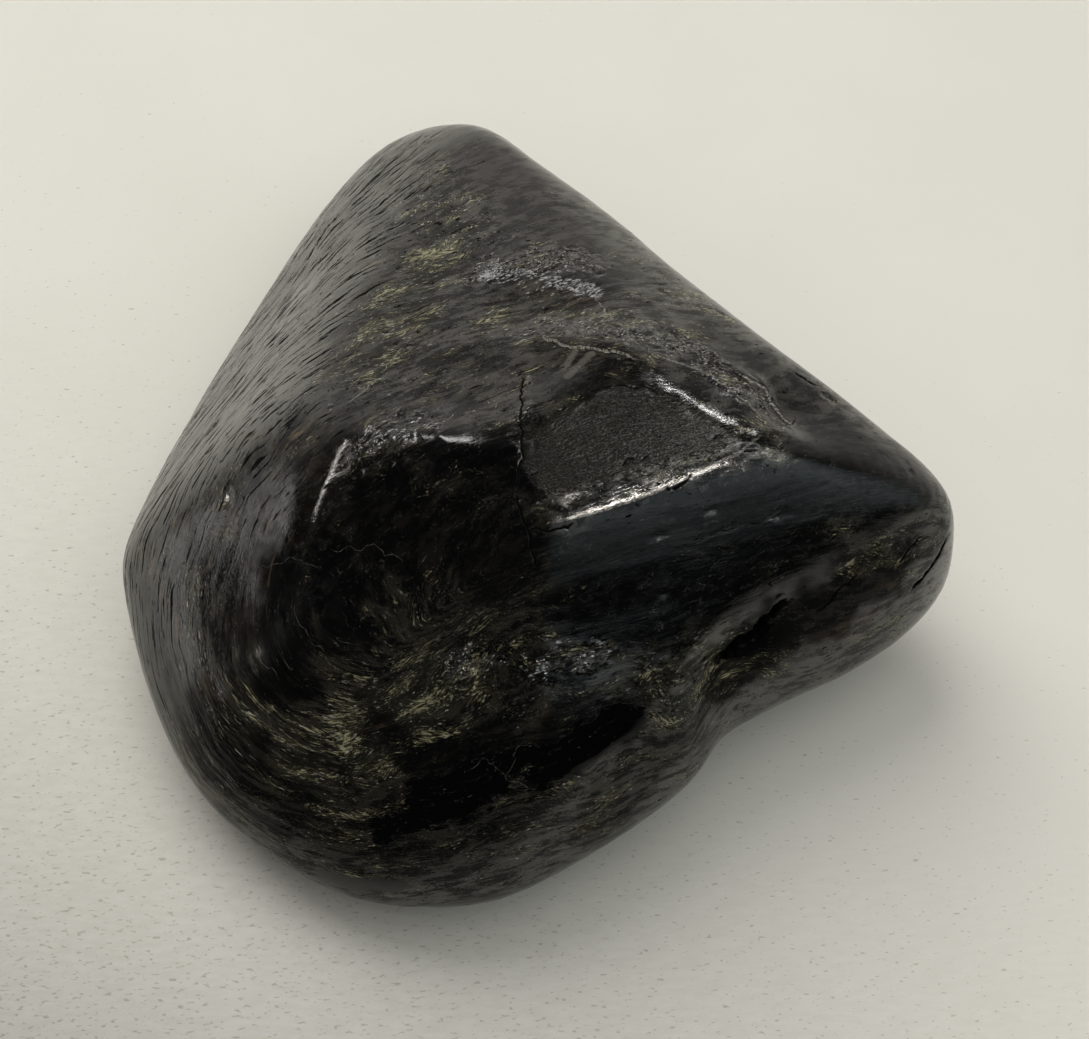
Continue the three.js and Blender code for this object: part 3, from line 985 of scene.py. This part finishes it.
def stone_colour(tree, marks):
    rock = blend(tree, ramp(tree, marks.mottled, 0.44, 0.6), BLACK_ROCK, BROWN_ROCK)
    # Broken ground's shards: black, with grey and pale ones painted as sparkle.
    shard_with_painted_sparkle = blend(tree, ramp(tree, marks.ragged, 0.42, 0.56), BLACK_SHARD, GREY_SHARD_PAINTED_SHEEN)
    shard_with_painted_sparkle = blend(tree, ramp(tree, marks.flake, 0.8, 0.84), shard_with_painted_sparkle, PALE_SHARD_PAINTED_GLINT)
    needle = blend(tree, ramp(tree, marks.sheaves, -0.3, 0.4), GREY_NEEDLE, OLIVE_NEEDLE)
    return painted(
        tree,
        rock,
        (marks.window, 1.0, WINDOW_ROCK),
        (ramp(tree, marks.speckle, 0.55, 0.72), 0.8, SPECKLED_ROCK),
        (marks.tuft, 0.25, TUFTED_ROCK),
        (marks.calm, 0.7, CALM_ROCK),
        (marks.dark, 0.92, DARK_ROCK),
        # Shards of broken ground, partly painted sparkle.
        (marks.shards, 0.7, shard_with_painted_sparkle),
        (marks.crystal, 1.0, BLACK_CRYSTAL),
        (marks.seam, 0.6, TAN_SEAM),
        (marks.olive, 0.75, needle),
        (marks.gold, 0.85, GOLD_NEEDLE),
        (marks.stain, 0.4, RUST_STAIN),
        # Platy flakes painted pale as glints.
        (marks.plates, 0.85, PLATE_PAINTED_GLINT),
        (marks.vein, 0.3, PALE_VEIN),
        # Painted sparkle highlights.
        (marks.spark, 0.75, PAINTED_SPARKLE),
        # Pale tablets and hairlines, and painted highlights along ledges and ridges.
        (marks.glints, 1.0, PALE_LINE_AND_HIGHLIGHT),
        (marks.dented, 0.92, OPEN_CRACK),
    )


def stone_roughness(tree, marks):
    satin = ramp(tree, marks.streaks, 0.3, 0.7, 0.06, 0.13)
    satin = maths(tree, "ADD", satin, ramp(tree, marks.mottled, 0.46, 0.6, 0.0, 0.08))
    return layered(
        tree,
        satin,
        (marks.calm, 0.07),
        (marks.crystal, 0.04),
        (marks.window, 0.18),
        (marks.matt, 0.24),
        (marks.olive, 0.3),
        (marks.dented, 0.85),
    )


def stone_shine(tree, marks):
    """How strongly the surface reflects: patchy on the layered ground, high on the low flank."""
    mixed = weighted(tree, marks.mottled, (marks.speckle, 0.35))
    low_flank = product(tree, marks.flank, ramp(tree, marks.y_place, -4.0, 26.0, 0.85, 0.0))
    shine = layered(
        tree,
        ramp(tree, mixed, 0.6, 0.74, 0.15, 0.62),
        (low_flank, 0.9),
        (maths(tree, "MULTIPLY", marks.dark, 0.8), 0.37),
        (marks.window, ramp(tree, marks.speckle, 0.42, 0.62, 0.24, 0.6)),
        (marks.calm, ramp(tree, marks.mottled, 0.44, 0.58, 0.24, 0.42)),
        (marks.crystal, 0.42),
    )
    felted = weighted(tree, 1.0, (marks.olive, -0.5))
    dulled = weighted(tree, 1.0, (marks.matt, -0.92))
    narrow_end = ramp(tree, marks.y_place, 16.0, 31.0, 1.0, 0.8)
    return layered(tree, product(tree, shine, felted, dulled, narrow_end), (marks.dented, 0.05))


def stone_normal(tree, marks):
    """Relief finer than the mesh, in millimetres, and flakes that lean away from the surface."""
    streaked = product(tree, maths(tree, "SUBTRACT", marks.streaks, 0.5), marks.ground)
    speckled = product(tree, marks.speckle, marks.ground)
    relief = weighted(tree, 0.0, (streaked, 0.009), (speckled, 0.005), (marks.slot, -0.045))
    window_edge = product(tree, marks.window, maths(tree, "SUBTRACT", 1.0, marks.window))
    leaning = weighted(tree, 0.0, (marks.olive, 0.45), (marks.shards, 0.7), (marks.plates, 0.3))
    leaning = weighted(tree, leaning, (marks.window, 0.04), (window_edge, 0.3))
    away = vector_maths(tree, "SUBTRACT", marks.flakes, (0.5, 0.5, 0.5))
    away = vector_maths(tree, "SCALE", away, Scale=leaning)
    normal = vector_maths(tree, "ADD", add(tree, "ShaderNodeNewGeometry", output="Normal"), away)
    normal = vector_maths(tree, "NORMALIZE", normal)
    bump = {"Height": relief, "Distance": MM, "Strength": 1.0, "Normal": normal}
    return add(tree, "ShaderNodeBump", bump, output="Normal")


def stone_material():
    material, tree, shader = new_material("nuummite")
    marks = stone_marks(tree)
    tree.links.new(stone_colour(tree, marks), shader.inputs["Base Color"])
    tree.links.new(stone_roughness(tree, marks), shader.inputs["Roughness"])
    tree.links.new(stone_shine(tree, marks), shader.inputs["Specular IOR Level"])
    tree.links.new(stone_normal(tree, marks), shader.inputs["Normal"])
    shader.inputs["IOR"].default_value = STONE_IOR
    return material


# ---- stage

def floor_material():
    """A pale board with short dark dashes, less lit towards the front left."""
    material, tree, shader = new_material("pale_board")
    places = add(tree, "ShaderNodeTexCoord", output="Object")
    dashes = grain(tree, places, DASH_GRAIN, 2.0, 0.5, DASH_TURN)
    fuzz = grain(tree, places, FUZZ_GRAIN, 4.0, 0.7, FUZZ_TURN)
    toward = {0: places, 1: FRONT_LEFT}
    front_left = add(tree, "ShaderNodeVectorMath", toward, output=1, operation="DOT_PRODUCT")
    clouds = grain(tree, places, CLOUD_GRAIN, 3.0, 0.5)
    fuzzy = product(tree, ramp(tree, front_left, -0.01, 0.04), ramp(tree, fuzz, 0.3, 0.7, 0.0, 0.18))
    board = painted(
        tree,
        blend(tree, clouds, BOARD_DIM, BOARD_PALE),
        (fuzzy, 1.0, BOARD_FUZZ),
        (ramp(tree, weighted(tree, dashes, (front_left, 1.6)), 0.67, 0.74), 0.45, BOARD_DASH),
        (ramp(tree, front_left, 0.008, 0.09), 0.6, UNLIT),
    )
    tree.links.new(board, shader.inputs["Base Color"])
    shader.inputs["Roughness"].default_value = BOARD_ROUGHNESS
    shader.inputs["Specular IOR Level"].default_value = BOARD_SPECULAR
    return material


def make_floor():
    bpy.ops.object.select_all(action="DESELECT")
    bpy.ops.mesh.primitive_plane_add(size=FLOOR_SIZE, location=(0, 0, 0))
    floor = bpy.context.active_object
    floor.name = "floor"
    floor.data.materials.append(floor_material())


def area_light(name, toward, distance, size, watts, colour, length=0, run=None):
    """A soft light that stands off the stone in a direction and faces it.

    With a length it is a strip, its short side the size, that runs as nearly as can be along run.
    """
    data = bpy.data.lights.new(name, "AREA")
    data.shape = "RECTANGLE" if length else "DISK"
    data.size = size * MM
    data.energy = watts
    data.color = colour
    light = bpy.data.objects.new(name, data)
    bpy.context.scene.collection.objects.link(light)
    direction = Vector(toward).normalized()
    light.location = (CAMERA_TARGET + direction * distance) * MM
    light.rotation_mode = "QUATERNION"
    light.rotation_quaternion = direction.to_track_quat("Z", "Y")
    if length:
        data.size_y = length * MM
        side = Vector(run).cross(direction).normalized()
        turned = Matrix((side, direction.cross(side), direction)).transposed()
        light.rotation_quaternion = turned.to_quaternion()
    return light


def make_lights():
    for light in BROAD_LIGHTS:
        area_light(*light).visible_glossy = False
    for light in REFLECTED_LIGHTS:
        area_light(*light).visible_diffuse = False


def make_world():
    """A dark room whose back is pale near the horizon, with a faint bluish glow at the front right."""
    world = bpy.data.worlds.new("studio")
    bpy.context.scene.world = world
    world.use_nodes = True
    tree = world.node_tree
    direction = add(tree, "ShaderNodeTexCoord", output="Generated")
    x, y, z = (axis_of(tree, direction, axis) for axis in "XYZ")
    back = ramp(tree, y, 0.05, 0.9, 0.01, 0.62)
    low = ramp(tree, z, 0.35, 0.85, 1.0, 0.35)
    left = ramp(tree, x, 0.15, 0.7, 1.0, 0.62)
    lifted = largest(tree, weighted(tree, maths(tree, "ADD", z, -0.612), (x, 0.9)), z)
    glow = ramp(tree, lifted, 0.32, 0.5, 0.0, 0.74)
    glow = product(tree, glow, ramp(tree, y, 0.0, 0.3, 1.0, 0.0), ramp(tree, x, 0.5, 0.68))
    room = vector_maths(tree, "SCALE", ROOM_TINT, Scale=product(tree, back, low, left))
    cool = vector_maths(tree, "SCALE", GLOW_TINT, Scale=glow)
    tree.links.new(vector_maths(tree, "ADD", room, cool), tree.nodes["Background"].inputs["Color"])


def make_camera():
    lift = math.radians(CAMERA_ELEVATION)
    back = Vector((0, -math.cos(lift), math.sin(lift)))
    data = bpy.data.cameras.new("camera")
    data.lens = CAMERA_LENS
    data.clip_start = 0.01
    data.clip_end = 20
    camera = bpy.data.objects.new("camera", data)
    bpy.context.scene.collection.objects.link(camera)
    camera.location = (CAMERA_TARGET + back * CAMERA_DISTANCE) * MM
    camera.rotation_mode = "QUATERNION"
    camera.rotation_quaternion = back.to_track_quat("Z", "Y")
    bpy.context.scene.camera = camera


stone = make_stone()
stone.data.materials.clear()
stone.data.materials.append(stone_material())
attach(stone, "root")
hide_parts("stone")
make_floor()
make_world()
make_lights()
make_camera()
bpy.context.scene.view_settings.view_transform = "Standard"
